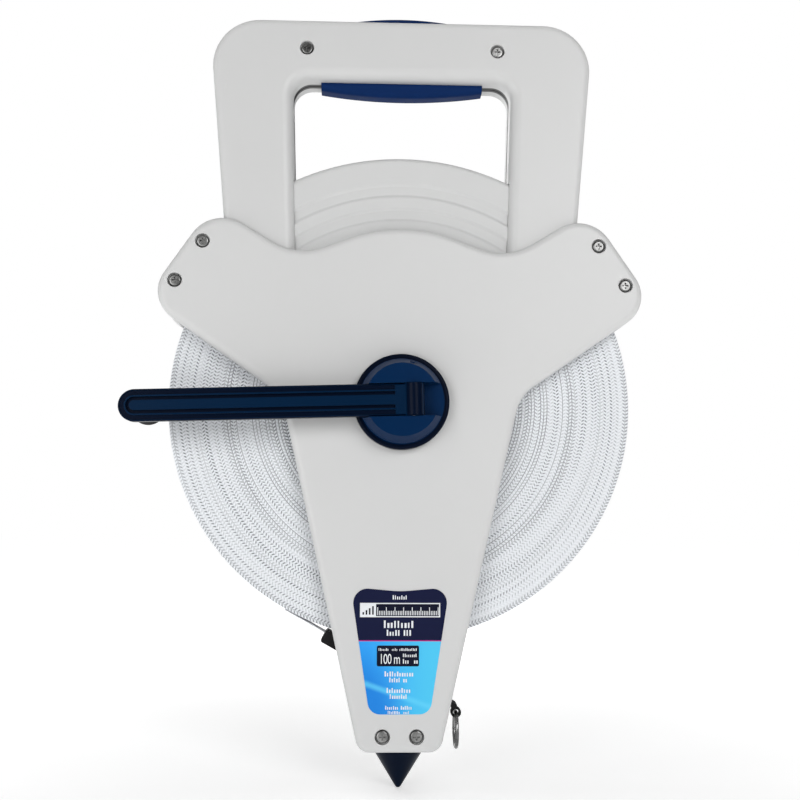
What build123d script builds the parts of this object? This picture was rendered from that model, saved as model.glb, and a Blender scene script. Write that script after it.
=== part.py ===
from build123d import *
import os
from math import atan2, cos, degrees, radians, sin

os.makedirs("parts", exist_ok=True)

# Open-reel long tape: a wound tape between two Y-shaped plates, with a carrying handle above,
# a ground spike below and a fold-out crank in front. Millimetres. +Z up through the handle, the
# crank side faces -Y, y = 0 is the middle of the tape's width, and the spike's tip is the origin.

# ---- sizes: tape and reel
TAPE_WIDTH = 13.0
COIL_RADIUS = 134.5           # 100 m wound at a 0.43 mm pitch on the drum
DRUM_RADIUS = 66.0
DRUM_RIM = 5.5
DRUM_WEB = 3.0
DRUM_SPOKES = 6
STEM_RADIUS = 11.0            # journals of the hub and of the rear cap
TENON = 13.0                  # square drive into the drum
BUSH_WALL = 2.4
BUSH_FLANGE = 4.0
WASHER = 1.0

# ---- sizes: plates
PLATE_FACE = 20.0             # outer face, measured from the middle of the tape
PLATE_WALL = 2.5
PLATE_EDGE = 4.0              # rounding of the outer edge
SIDE_GAP = 2.0                # edge of the tape to the plates' skirts
COIL_GAP = 3.0                # wound tape to everything around it
FOOT_BELOW_COIL = 61.1
FOOT_HALF = 22.9
CROWN_IN = 26.1               # wound radius in to the arched top edge between the ears
TROUGH_IN = 29.6              # and to the hollows each side of it
EAR_OUT = 12.2                # guard's radius out to the ears' corners
EAR_SCREW_OUT = 0.9
EAR_SCREW_ANGLES = (38.9, 28.1)
FOOT_SCREW_HALF = 9.5
FOOT_SCREW_RISE = 9.0
SPIKE_LENGTH = 22.5
SPIKE_RADIUS = 14.3
SPIKE_TIP = 2.0
NECK_HALF_X = 9.0
NECK_HALF_Y = 7.5

# ---- sizes: guard and handle
GUARD_GAP = 10.3              # wound tape to the inside of the guard
GUARD_WALL = 2.5
GUARD_HALF = 10.8             # half depth of the guard
GUARD_END = 47.5              # degrees above the reel axis where the arch ends, each side
GUARD_INNER = 95.0
HAND_HEIGHT = 47.2            # guard to the underside of the handle's bar
BAR_HEIGHT = 35.9
HANDLE_HALF = 15.0            # half depth of the handle
HANDLE_WALL = 2.5
HANDLE_TOP_HALF = 115.5
HANDLE_WAIST_HALF = 101.6
HOLE_TOP_HALF = 65.5
HOLE_LOW_HALF = 61.6
LEG_END_BELOW = 56.5          # wound radius down to the hidden ends of the handle's legs
OUTER_ROUND = 4.0
HOLE_ROUND = 6.5
HANDLE_SCREW_HALF = 56.9
GRIP_LOW_HALF = 48.5
GRIP_TOP_HALF = 38.0
GRIP_LOW_DEPTH = 6.2
GRIP_TOP_DEPTH = 8.8

# ---- sizes: crank
HUB_RADIUS = 27.3
HUB_BOSS = 24.0
HUB_PLATEAU = 20.5
HUB_FACE = 39.0
HUB_FLANGE = 6.0
SLOT_FLOOR = 29.2
ARM_WIDTH = 18.0
ARM_THICK = 6.0
ARM_FACE = 38.6
ARM_REACH = 157.0
KNOB_REACH = 143.0
KNOB_RADIUS = 9.8
KNOB_END = 21.0
PIN_X = 6.7
PIN_RADIUS = 1.75
BARREL_RADIUS = 5.8
CRANK_TILT = 1.8              # degrees the stowed arm droops below level

# ---- sizes: tape end and fasteners
TAPE_ANGLE = -29.0            # direction of the strand through the leg
LEADER_THICK = 0.5
RING_RADIUS = 9.75
RING_WIRE = 1.1
SCREW_RADIUS = 1.75
SCREW_HEAD = 3.6
SCREW_HEAD_THICK = 2.2
RECESS_RADIUS = 4.25
RECESS_DEPTH = 2.9
BOSS_RADIUS = 5.5
BOLT_RADIUS = 3.0

# ---- clearances
RUN = 0.05                    # radial, turning fits
SLIP = 0.3                    # parts laid into each other
PRESS = 0.03                  # pressed or clamped parts
SIDE_PLAY = 0.2               # axial, each side of a turning part

# ---- worked out from the sizes above
COIL_HALF = TAPE_WIDTH / 2
SKIRT_HALF = COIL_HALF + SIDE_GAP
COIL_CLEAR = COIL_RADIUS + COIL_GAP
FOOT_DROP = COIL_RADIUS + FOOT_BELOW_COIL
AXIS_Z = FOOT_DROP + SPIKE_LENGTH
GUARD_RADIUS = COIL_RADIUS + GUARD_GAP + GUARD_WALL
HOLE_TOP = GUARD_RADIUS + HAND_HEIGHT
BAR_TOP = HOLE_TOP + BAR_HEIGHT
EAR_SCREW_RADIUS = GUARD_RADIUS + EAR_SCREW_OUT
EAR_CORNER_RADIUS = GUARD_RADIUS + EAR_OUT
LEG_END = COIL_RADIUS - LEG_END_BELOW
HUB_BACK = PLATE_FACE + WASHER + SIDE_PLAY
BUSH_RADIUS = STEM_RADIUS + RUN + BUSH_WALL
BUSH_END = SKIRT_HALF + 1.4
DRUM_HUB_HALF = BUSH_END - WASHER - 2 * SIDE_PLAY
PIN_DEPTH = SLOT_FLOOR + 0.5 + BARREL_RADIUS
ARM_BACK = ARM_FACE - ARM_THICK
REAR_RECESS = PLATE_FACE - 4.5
REAR_CAP_BACK = REAR_RECESS + SIDE_PLAY + 0.2


FORWARD = (Align.CENTER, Align.CENTER, Align.MIN)     # grows towards the crank side
REARWARD = (Align.CENTER, Align.CENTER, Align.MAX)    # grows towards the rear


def facing(depth, tilt=0.0):
    """Plane seen from the crank side, centred on the reel axis, depth mm in front of the tape."""
    turn = radians(tilt)
    return Plane(origin=(0, -depth, AXIS_Z), x_dir=(cos(turn), 0, sin(turn)), z_dir=(0, -1, 0))


def polar(radius, angle):
    """Point at a radius and an angle in degrees about the reel axis, in a facing plane."""
    return (radius * cos(radians(angle)), radius * sin(radians(angle)))


def mirrored(points):
    """The points, then their mirror images in reverse order, for a closed symmetric outline."""
    return list(points) + [(-x, z) for x, z in reversed(points)]


EAR_SCREWS = mirrored([polar(EAR_SCREW_RADIUS, angle) for angle in EAR_SCREW_ANGLES])
FOOT_SCREWS = mirrored([(FOOT_SCREW_HALF, FOOT_SCREW_RISE - FOOT_DROP)])
HANDLE_SCREWS = mirrored([(HANDLE_SCREW_HALF, BAR_TOP - BAR_HEIGHT / 2)])
ALL_PLATE_SCREWS = EAR_SCREWS + FOOT_SCREWS

# ---- outlines, drawn in the facing plane through the middle of the tape

ARMPIT = polar(DRUM_RADIUS + 3.0, 3.8)
EAR_TOP = polar(EAR_CORNER_RADIUS, 46.2)
EAR_OUTER = polar(EAR_CORNER_RADIUS, 21.9)
TROUGH = polar(COIL_RADIUS - TROUGH_IN, 54.2)
CROWN = (0, COIL_RADIUS - CROWN_IN)
FOOT = (FOOT_HALF, -FOOT_DROP)

with BuildSketch(facing(0)) as plate_outline:
    with BuildLine():
        right_side = [TROUGH, EAR_TOP, EAR_OUTER, ARMPIT, FOOT]
        right_rounds = [35, 21.5, 19, 25, 8]
        FilletPolyline(
            CROWN,
            *mirrored(right_side),
            radius=[87.5] + right_rounds + right_rounds[::-1],
            close=True,
        )
    make_face()


def grown(outline, amount):
    """The outline of a sketch grown by an amount, or shrunk by a negative one."""
    with BuildSketch(facing(0)) as result:
        add(outline.sketch_local)
        offset(amount=amount, mode=Mode.REPLACE)
    return result


plate_cavity_outline = grown(plate_outline, -PLATE_WALL)
plate_inside = grown(plate_outline, -PLATE_WALL - SLIP)

with BuildSketch(facing(0)) as handle_outline:
    with BuildLine():
        right_side = [(HANDLE_TOP_HALF, BAR_TOP), (HANDLE_WAIST_HALF, LEG_END), (HOLE_LOW_HALF, LEG_END),
                      (HOLE_TOP_HALF, HOLE_TOP)]
        right_rounds = [28, 0, 0, 11]
        FilletPolyline(*mirrored(right_side), radius=right_rounds + right_rounds[::-1], close=True)
    make_face()

handle_cavity_outline = grown(handle_outline, -HANDLE_WALL)
handle_clearance = grown(handle_outline, SLIP)

with BuildSketch(facing(0)) as ear_lugs:
    add(plate_inside.sketch_local)
    Circle(COIL_CLEAR - 18, mode=Mode.SUBTRACT)
    with Locations((0, -AXIS_Z)):
        Rectangle(4 * COIL_RADIUS, 2 * (AXIS_Z + 40), mode=Mode.SUBTRACT)
    with BuildLine():
        right_cut = polar(3 * COIL_RADIUS, GUARD_END - 1)
        Polyline((0, 0), right_cut, (-right_cut[0], right_cut[1]), close=True)
    make_face(mode=Mode.SUBTRACT)


def guard_sector(radius, margin):
    """Face that covers the guard's arch out to a radius, with an end margin in degrees."""
    with BuildSketch(facing(0)) as sector:
        Circle(radius)
        with BuildLine():
            start = polar(3 * radius, GUARD_END - margin)
            end = polar(3 * radius, 180 - GUARD_END + margin)
            Polyline((0, 0), start, (start[0], 3 * radius), (end[0], 3 * radius), end, close=True)
        make_face(mode=Mode.INTERSECT)
    return sector.sketch


# ---- side plates: hollow shells with skirts, screw pads and a bearing boss

with BuildPart() as plate_cavity:
    extrude(plate_cavity_outline.sketch, amount=PLATE_FACE - PLATE_WALL)
    fillet(faces().sort_by(Axis.Y)[0].edges(), PLATE_EDGE - PLATE_WALL)

with BuildPart() as plate_shell:
    extrude(plate_outline.sketch, amount=PLATE_FACE)
    fillet(faces().sort_by(Axis.Y)[0].edges(), PLATE_EDGE)
    add(plate_cavity.part, mode=Mode.SUBTRACT)
    # room for the tape, the handle and the guard
    extrude(handle_clearance.sketch, amount=HANDLE_HALF + PRESS, mode=Mode.SUBTRACT)
    extrude(guard_sector(GUARD_RADIUS + SLIP, 1), amount=GUARD_HALF + PRESS, mode=Mode.SUBTRACT)
    with Locations(facing(0)):
        Cylinder(COIL_CLEAR, SKIRT_HALF, align=FORWARD, mode=Mode.SUBTRACT)
    # bearing boss and ribs that run out from it
    with BuildSketch(facing(PLATE_FACE - PLATE_WALL)) as boss_and_ribs:
        Circle(BUSH_RADIUS + PLATE_WALL)
        for angle in (35, 90, 145, 270):
            with Locations(polar(DRUM_RADIUS / 2, angle)):
                Rectangle(DRUM_RADIUS - 10, 2.0, rotation=angle)
    extrude(amount=-(PLATE_FACE - PLATE_WALL - BUSH_END))
    # pads that bear on the handle's lugs, and the foot's screw pillars
    with BuildSketch(facing(PLATE_FACE - PLATE_WALL)) as ear_pads:
        with Locations(*EAR_SCREWS):
            Circle(BOSS_RADIUS + 1)
    extrude(amount=-(PLATE_FACE - PLATE_WALL - HANDLE_HALF - PRESS))
    with BuildSketch(facing(PLATE_FACE - PLATE_WALL)) as foot_pillars:
        with Locations(*FOOT_SCREWS):
            Circle(BOSS_RADIUS)
    extrude(amount=-(PLATE_FACE - PLATE_WALL - NECK_HALF_Y - 2.5 - PRESS))
    # window in the foot for the spike's neck
    with Locations((0, 0, AXIS_Z - FOOT_DROP)):
        Box(2 * (NECK_HALF_X + PRESS), 2 * (NECK_HALF_Y + PRESS), 4 * PLATE_WALL, mode=Mode.SUBTRACT)

# passage of the strand through both walls of the leg
strand_distance = COIL_RADIUS + SLIP + LEADER_THICK / 2
strand_start = polar(strand_distance, TAPE_ANGLE - 90)
strand_along = polar(1, TAPE_ANGLE)


def strand_point(length, aside=0.0):
    """Point a length along the strand from where it leaves the winding, and aside from it."""
    outward = polar(1, TAPE_ANGLE - 90)
    return (strand_start[0] + length * strand_along[0] + aside * outward[0],
            strand_start[1] + length * strand_along[1] + aside * outward[1])


def leg_half(height):
    """Half width of the leg at a height below the reel axis."""
    share = (ARMPIT[1] - height) / (ARMPIT[1] - FOOT[1])
    return ARMPIT[0] + share * (FOOT[0] - ARMPIT[0])


def strand_crossing(side):
    """Length along the strand where it meets the leg's edge, side -1 left or +1 right."""
    slope = (FOOT[0] - ARMPIT[0]) / (FOOT[1] - ARMPIT[1])
    edge_now = side * (ARMPIT[0] + slope * (strand_start[1] - ARMPIT[1]))
    return (edge_now - strand_start[0]) / (strand_along[0] - side * slope * strand_along[1])


ENTRY = strand_crossing(-1)
EXIT = strand_crossing(1)
MOUTH_OUT = 6.0
MOUTH_IN = 12.0
MOUTH_ABOVE = 1.8
MOUTH_BELOW = 5.4
MOUTH_SLOT = 1.6
MOUTH_PIN = 1.0
MOUTH_HALF = COIL_HALF + 2.2
MOUTH_HEIGHT = MOUTH_ABOVE + MOUTH_BELOW
MOUTH_LENGTH = MOUTH_OUT + MOUTH_IN
mouth_middle = ENTRY + (MOUTH_IN - MOUTH_OUT) / 2
mouth_aside = (MOUTH_BELOW - MOUTH_ABOVE) / 2


def along_strand(length, aside=0.0):
    """Plane seen from the crank side with its x direction along the strand."""
    x, z = strand_point(length, aside)
    return Plane(origin=(x, 0, AXIS_Z + z), x_dir=(strand_along[0], 0, strand_along[1]), z_dir=(0, -1, 0))


with BuildPart() as strand_room:
    with Locations(along_strand(mouth_middle, mouth_aside)):
        Box(MOUTH_LENGTH + 2 * PRESS, MOUTH_HEIGHT + 2 * PRESS, 2 * (MOUTH_HALF + PRESS))
    with Locations(along_strand(EXIT)):
        Box(24, 4.0, TAPE_WIDTH + 2.0)

with BuildPart() as front_plate:
    add(plate_shell.part)
    add(strand_room.part, mode=Mode.SUBTRACT)
    # bore for the bush
    with Locations(facing(0)):
        Cylinder(BUSH_RADIUS + PRESS, 2 * PLATE_FACE + 10, mode=Mode.SUBTRACT)
    # screw recesses and clearance holes
    with Locations(facing(PLATE_FACE)):
        with Locations(*ALL_PLATE_SCREWS):
            CounterBoreHole(SCREW_RADIUS + RUN, RECESS_RADIUS, RECESS_DEPTH, depth=PLATE_FACE)

with BuildPart() as rear_plate:
    add(mirror(plate_shell.part, about=Plane.XZ))
    # dished seat for the rear cap
    with Locations(facing(-REAR_RECESS)):
        Cylinder(HUB_RADIUS + 1.2 + PLATE_WALL, PLATE_WALL + 0.5, align=FORWARD)
        Cylinder(HUB_RADIUS + 1.2 + PLATE_WALL, PLATE_FACE - REAR_RECESS,
                 align=REARWARD)
        Cylinder(HUB_RADIUS + 1.2, PLATE_FACE, align=REARWARD, mode=Mode.SUBTRACT)
    with Locations(facing(0)):
        Cylinder(BUSH_RADIUS + PRESS, 2 * PLATE_FACE + 10, mode=Mode.SUBTRACT)
    add(strand_room.part, mode=Mode.SUBTRACT)
    # blind pilot holes for the screws' threads
    with BuildSketch(facing(0)):
        with Locations(*ALL_PLATE_SCREWS):
            Circle(SCREW_RADIUS + PRESS)
    extrude(amount=-(PLATE_FACE - PLATE_WALL), mode=Mode.SUBTRACT)

# ---- bushes and washers

with BuildPart() as front_bush:
    with Locations(facing(BUSH_END)):
        Cylinder(BUSH_RADIUS, PLATE_FACE - BUSH_END, align=FORWARD)
    with Locations(facing(PLATE_FACE)):
        Cylinder(BUSH_RADIUS + BUSH_FLANGE, WASHER, align=FORWARD)
    with Locations(facing(PLATE_FACE)):
        Cylinder(STEM_RADIUS + RUN, 4 * PLATE_FACE, mode=Mode.SUBTRACT)
    chamfer(faces().sort_by(Axis.Y)[0].edges(), 0.3)

with BuildPart() as rear_bush:
    with Locations(facing(-BUSH_END)):
        Cylinder(BUSH_RADIUS, REAR_RECESS - BUSH_END, align=REARWARD)
        Cylinder(STEM_RADIUS + RUN, 4 * PLATE_FACE, mode=Mode.SUBTRACT)
    chamfer(faces().sort_by(Axis.Y)[-1].edges(), 0.3)

with BuildPart() as thrust_washers:
    for depth in (DRUM_HUB_HALF + SIDE_PLAY, -DRUM_HUB_HALF - SIDE_PLAY - WASHER):
        with Locations(facing(depth)):
            Cylinder(BUSH_RADIUS, WASHER, align=FORWARD)
            Cylinder(STEM_RADIUS + SLIP, WASHER, align=FORWARD,
                     mode=Mode.SUBTRACT)

# ---- handle: two shells, their lugs under the ears, and the soft grip

def is_hole_edge(edge):
    """True for the front edges round the hand hole, down the inner sides of the legs."""
    middle = edge.center()
    beside = abs(middle.X) < HOLE_TOP_HALF + HOLE_ROUND
    return beside and AXIS_Z + LEG_END + 5 < middle.Z < AXIS_Z + HOLE_TOP + 5


def is_outer_edge(edge):
    """True for the front edges over the bar and down the outer sides of the legs."""
    middle = edge.center()
    return middle.Z > AXIS_Z + BAR_TOP - 5 or abs(middle.X) > HANDLE_WAIST_HALF - 5


with BuildPart() as handle_cavity:
    extrude(handle_cavity_outline.sketch, amount=HANDLE_HALF - HANDLE_WALL)
    fillet(faces().sort_by(Axis.Y)[0].edges().filter_by(is_hole_edge), HOLE_ROUND - HANDLE_WALL)
    fillet(faces().sort_by(Axis.Y)[0].edges().filter_by(is_outer_edge), OUTER_ROUND - HANDLE_WALL)

with BuildPart() as handle_shell:
    extrude(handle_outline.sketch, amount=HANDLE_HALF)
    fillet(faces().sort_by(Axis.Y)[0].edges().filter_by(is_hole_edge), HOLE_ROUND)
    fillet(faces().sort_by(Axis.Y)[0].edges().filter_by(is_outer_edge), OUTER_ROUND)
    chamfer(faces().sort_by(Axis.Y)[-1].edges(), 0.6)
    add(handle_cavity.part, mode=Mode.SUBTRACT)
    # lugs under the plates' ears
    extrude(ear_lugs.sketch, amount=HANDLE_HALF)
    # screw bosses in the bar
    with BuildSketch(facing(0)) as bar_bosses:
        with Locations(*HANDLE_SCREWS):
            Circle(BOSS_RADIUS)
    extrude(amount=HANDLE_HALF - HANDLE_WALL)
    # room for the tape and the guard
    with Locations(facing(0)):
        Cylinder(COIL_CLEAR, SKIRT_HALF, align=FORWARD, mode=Mode.SUBTRACT)
    extrude(guard_sector(GUARD_RADIUS + PRESS, 0.5), amount=GUARD_HALF + PRESS, mode=Mode.SUBTRACT)
    # windows for the grip
    with Locations((0, 0, AXIS_Z + HOLE_TOP)):
        Box(2 * (GRIP_LOW_HALF + PRESS), 2 * (GRIP_LOW_DEPTH + PRESS), 4 * HANDLE_WALL, mode=Mode.SUBTRACT)
    with Locations((0, 0, AXIS_Z + BAR_TOP)):
        Box(2 * (GRIP_TOP_HALF + PRESS), 2 * (GRIP_TOP_DEPTH + PRESS), 4 * HANDLE_WALL, mode=Mode.SUBTRACT)

with BuildPart() as handle_front:
    add(handle_shell.part)
    with Locations(facing(HANDLE_HALF)):
        with Locations(*HANDLE_SCREWS):
            CounterBoreHole(SCREW_RADIUS + RUN, RECESS_RADIUS, RECESS_DEPTH, depth=2 * HANDLE_HALF)
        with Locations(*EAR_SCREWS):
            Hole(SCREW_RADIUS + RUN, depth=2 * HANDLE_HALF)

with BuildPart() as handle_rear:
    add(mirror(handle_shell.part, about=Plane.XZ))
    with BuildSketch(facing(0)):
        with Locations(*HANDLE_SCREWS):
            Circle(SCREW_RADIUS + PRESS)
    extrude(amount=-(HANDLE_HALF - HANDLE_WALL), mode=Mode.SUBTRACT)
    with BuildSketch(facing(0)):
        with Locations(*EAR_SCREWS):
            Circle(SCREW_RADIUS + RUN)
    extrude(amount=-2 * HANDLE_HALF, mode=Mode.SUBTRACT)

GRIP_LOW_DROP = 4.2
GRIP_LOW_CROWN = 8.0
GRIP_TOP_RISE = 0.6
GRIP_TOP_CROWN = 4.5
with BuildPart() as handle_grip:
    with BuildSketch(facing(0)) as lower_grip:
        with BuildLine():
            low = HOLE_TOP - GRIP_LOW_DROP
            core = BAR_TOP - HANDLE_WALL - SLIP
            Polyline(*mirrored([(GRIP_LOW_HALF, low), (GRIP_LOW_HALF, core)]))
            ThreePointArc((-GRIP_LOW_HALF, low), (0, HOLE_TOP - GRIP_LOW_CROWN), (GRIP_LOW_HALF, low))
        make_face()
    extrude(amount=GRIP_LOW_DEPTH, both=True)
    crowned = faces().sort_by(Axis.Z)[0].edges().filter_by(lambda edge: edge.length > GRIP_LOW_HALF)
    fillet(crowned, 3.0)
    with BuildSketch(facing(0)) as upper_grip:
        with BuildLine():
            high = BAR_TOP + GRIP_TOP_RISE
            root = BAR_TOP - 2 * HANDLE_WALL
            Polyline(*mirrored([(GRIP_TOP_HALF, high), (GRIP_TOP_HALF, root)]))
            ThreePointArc((-GRIP_TOP_HALF, high), (0, BAR_TOP + GRIP_TOP_CROWN), (GRIP_TOP_HALF, high))
        make_face()
    extrude(amount=GRIP_TOP_DEPTH, both=True)
    crowned = faces().sort_by(Axis.Z)[-1].edges().filter_by(lambda edge: edge.length > GRIP_TOP_HALF)
    fillet(crowned, 3.0)

# ---- guard: an arched hood of U section with two shallow grooves in each side

GROOVE_DEPTH = 0.9
GROOVE_HALF = 2.6
GROOVE_SHOULDER = 1.6
GROOVE_PLACES = (GUARD_RADIUS - 20.0, GUARD_RADIUS - 34.5)
GUARD_RIM = 1.8


def groove_points(side):
    """Corners of both grooves on one side of the guard, from the outside radius inwards."""
    face = side * GUARD_HALF
    floor = side * (GUARD_HALF - GROOVE_DEPTH)
    corners = []
    for place in GROOVE_PLACES:
        corners += [(place + GROOVE_HALF + GROOVE_SHOULDER, face), (place + GROOVE_HALF, floor),
                    (place - GROOVE_HALF, floor), (place - GROOVE_HALF - GROOVE_SHOULDER, face)]
    return corners


with BuildPart() as tape_guard:
    with BuildSketch(Plane(origin=(0, 0, AXIS_Z), x_dir=(1, 0, 0), z_dir=(0, -1, 0)).rotated((90, 0, 0))):
        with BuildLine():
            outside = GUARD_RADIUS
            inside = GUARD_RADIUS - GUARD_WALL
            lip = GUARD_HALF - GUARD_RIM
            FilletPolyline(
                (GUARD_INNER, -GUARD_HALF), *groove_points(-1)[::-1], (outside, -GUARD_HALF),
                (outside, GUARD_HALF), *groove_points(1), (GUARD_INNER, GUARD_HALF),
                (GUARD_INNER, lip), (inside, lip), (inside, -lip), (GUARD_INNER, -lip),
                radius=[0.5] + [1.4] * 8 + [3, 3] + [1.4] * 8 + [0.5, 0.5, 1.5, 1.5, 0.5], close=True)
        make_face()
    revolve(axis=Axis((0, 0, AXIS_Z), (0, 1, 0)))
    add(extrude(guard_sector(2 * GUARD_RADIUS, 0), amount=2 * GUARD_HALF, both=True, mode=Mode.PRIVATE),
        mode=Mode.INTERSECT)

# ---- drum and wound tape

with BuildPart() as drum:
    with Locations(facing(0)):
        Cylinder(DRUM_RADIUS, 2 * COIL_HALF + 1.0)
        Cylinder(DRUM_RADIUS - DRUM_RIM, 2 * COIL_HALF + 2.0, mode=Mode.SUBTRACT)
        Cylinder(DRUM_RADIUS - DRUM_RIM + 1, DRUM_WEB)
        Cylinder(STEM_RADIUS + 6, 2 * DRUM_HUB_HALF)
    with BuildSketch(facing(0)) as spokes:
        with PolarLocations((STEM_RADIUS + 6 + DRUM_RADIUS - DRUM_RIM) / 2, DRUM_SPOKES):
            Rectangle(DRUM_RADIUS - DRUM_RIM - STEM_RADIUS - 5, DRUM_WEB)
    extrude(amount=COIL_HALF - 0.5, both=True)
    with BuildSketch(facing(0)) as lightening:
        with PolarLocations((STEM_RADIUS + 6 + DRUM_RADIUS - DRUM_RIM) / 2, DRUM_SPOKES, start_angle=30):
            Circle(11)
    extrude(amount=DRUM_WEB, both=True, mode=Mode.SUBTRACT)
    with Locations(facing(0)):
        Box(TENON + 2 * RUN, TENON + 2 * RUN, 4 * DRUM_HUB_HALF, mode=Mode.SUBTRACT)

with BuildPart() as tape_coil:
    with Locations(facing(0)):
        Cylinder(COIL_RADIUS, TAPE_WIDTH)
        Cylinder(DRUM_RADIUS, 2 * TAPE_WIDTH, mode=Mode.SUBTRACT)

# ---- crank hub: flange, raised boss with a slot for the arm, journal and square tenon

crank_plane = facing(0, CRANK_TILT)
SLOT_HALF = ARM_WIDTH / 2 + SLIP
NUT_THICK = 5.0
NUT_FLATS = 10.0
BOLT_TIP = SLOT_FLOOR - 0.4
with BuildPart() as crank_hub:
    with BuildSketch(Plane.XY.offset(AXIS_Z)) as hub_profile:
        with BuildLine():
            flange_face = HUB_BACK + HUB_FLANGE
            Polyline(
                (0, -DRUM_HUB_HALF - SIDE_PLAY), (STEM_RADIUS, -DRUM_HUB_HALF - SIDE_PLAY),
                (STEM_RADIUS, -HUB_BACK), (HUB_RADIUS, -HUB_BACK), (HUB_RADIUS, -flange_face),
                (HUB_BOSS, -flange_face), (HUB_BOSS, -flange_face - 3.0), (HUB_PLATEAU, -HUB_FACE),
                (0, -HUB_FACE), close=True)
        make_face()
    revolve(axis=Axis((0, 0, AXIS_Z), (0, 1, 0)))
    rims = edges().filter_by(GeomType.CIRCLE).filter_by(lambda edge: edge.radius > HUB_RADIUS - 0.1)
    fillet(rims.sort_by(Axis.Y)[0], 1.5)
    with Locations(facing(SLOT_FLOOR, CRANK_TILT)):
        Box(4 * HUB_RADIUS, 2 * SLOT_HALF, HUB_FACE, align=FORWARD,
            mode=Mode.SUBTRACT)
    # square tenon that drives the drum
    with Locations(facing(1.0)):
        Box(TENON, TENON, DRUM_HUB_HALF + SIDE_PLAY, align=FORWARD)
    # bolt hole and nut pocket
    with Locations(facing(0)):
        Cylinder(BOLT_RADIUS + SLIP, 4 * HUB_FACE, mode=Mode.SUBTRACT)
    with BuildSketch(facing(SLOT_FLOOR, CRANK_TILT)):
        RegularPolygon(NUT_FLATS / 2 + PRESS, 6, major_radius=False)
    extrude(amount=-NUT_THICK - 0.4, mode=Mode.SUBTRACT)
    # hinge pin's hole, open at the upper side only
    pin_place = crank_plane.from_local_coords((PIN_X, 0, PIN_DEPTH))
    pin_plane = Plane(origin=pin_place, z_dir=crank_plane.y_dir)
    with Locations(pin_plane.offset(-HUB_PLATEAU + 3.0)):
        Cylinder(PIN_RADIUS + PRESS, 3 * HUB_PLATEAU, align=FORWARD,
                 mode=Mode.SUBTRACT)

with BuildPart() as crank_pin:
    with Locations(pin_plane.offset(-HUB_PLATEAU + 3.0 + PRESS)):
        Cylinder(PIN_RADIUS, 2 * HUB_PLATEAU - 3.5, align=FORWARD)
    chamfer(edges().filter_by(GeomType.CIRCLE), 0.3)

# ---- rear cap, its bolt, nut and plug

BOLT_HEAD = 5.25
BOLT_HEAD_THICK = 3.3
CAP_BORE = BOLT_HEAD + 1.0
HEAD_SEAT = BUSH_END + 1.2
with BuildPart() as rear_cap:
    with Locations(facing(-REAR_CAP_BACK)):
        Cylinder(HUB_RADIUS, PLATE_FACE - 0.6 - REAR_CAP_BACK, align=REARWARD)
        Cylinder(STEM_RADIUS, REAR_CAP_BACK - DRUM_HUB_HALF - SIDE_PLAY,
                 align=FORWARD)
    chamfer(faces().sort_by(Axis.Y)[-1].edges(), 0.8)
    with Locations(facing(-1.0)):
        Box(TENON, TENON, DRUM_HUB_HALF + SIDE_PLAY, align=REARWARD)
    with Locations(facing(0)):
        Cylinder(BOLT_RADIUS + SLIP, 4 * PLATE_FACE, mode=Mode.SUBTRACT)
    with Locations(facing(-HEAD_SEAT)):
        Cylinder(CAP_BORE, 2 * PLATE_FACE, align=REARWARD, mode=Mode.SUBTRACT)

with BuildPart() as axle_bolt:
    with Locations(facing(-HEAD_SEAT)):
        Cylinder(BOLT_RADIUS, HEAD_SEAT + BOLT_TIP, align=FORWARD)
        Cylinder(BOLT_HEAD, BOLT_HEAD_THICK, align=REARWARD)
    fillet(faces().sort_by(Axis.Y)[-1].edges(), 1.2)
    with BuildSketch(facing(-HEAD_SEAT - BOLT_HEAD_THICK)):
        RegularPolygon(2.0, 6, major_radius=False)
    extrude(amount=2.0, mode=Mode.SUBTRACT)

with BuildPart() as axle_nut:
    with BuildSketch(facing(SLOT_FLOOR - 0.4, CRANK_TILT)):
        RegularPolygon(NUT_FLATS / 2, 6, major_radius=False)
        Circle(BOLT_RADIUS + PRESS, mode=Mode.SUBTRACT)
    extrude(amount=-NUT_THICK + PRESS)

with BuildPart() as cap_plug:
    with Locations(facing(-(HEAD_SEAT + BOLT_HEAD_THICK + 0.6))):
        Cylinder(CAP_BORE - PRESS, PLATE_FACE - 0.6 - HEAD_SEAT - BOLT_HEAD_THICK - 0.6,
                 align=REARWARD)
    chamfer(faces().sort_by(Axis.Y)[-1].edges(), 0.5)

# ---- crank arm, knob and its shoulder screw

STUD_SHOULDER = 3.0
STUD_THREAD = 2.0
STUD_HEAD = 4.8
KNOB_SEAT = KNOB_END + 3.2
ARM_GROOVE_END = -4.0         # where the grooves stop, short of the hinge
ARM_GROOVES = (
    (ARM_WIDTH / 2 - 0.8, ARM_WIDTH / 2 - 3.4, 0.9),
    (ARM_WIDTH / 2 - 4.3, ARM_WIDTH / 2 - 6.2, 1.8),
)


def tongue(half_width):
    """Outline concentric with the arm's tip, open squarely towards the hinge."""
    tip_centre = ARM_WIDTH / 2 - ARM_REACH
    with BuildSketch(facing(ARM_FACE, CRANK_TILT)) as shape:
        with Locations((tip_centre, 0)):
            Circle(half_width)
        with Locations(((tip_centre + ARM_GROOVE_END) / 2, 0)):
            Rectangle(ARM_GROOVE_END - tip_centre, 2 * half_width)
    return shape


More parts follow.
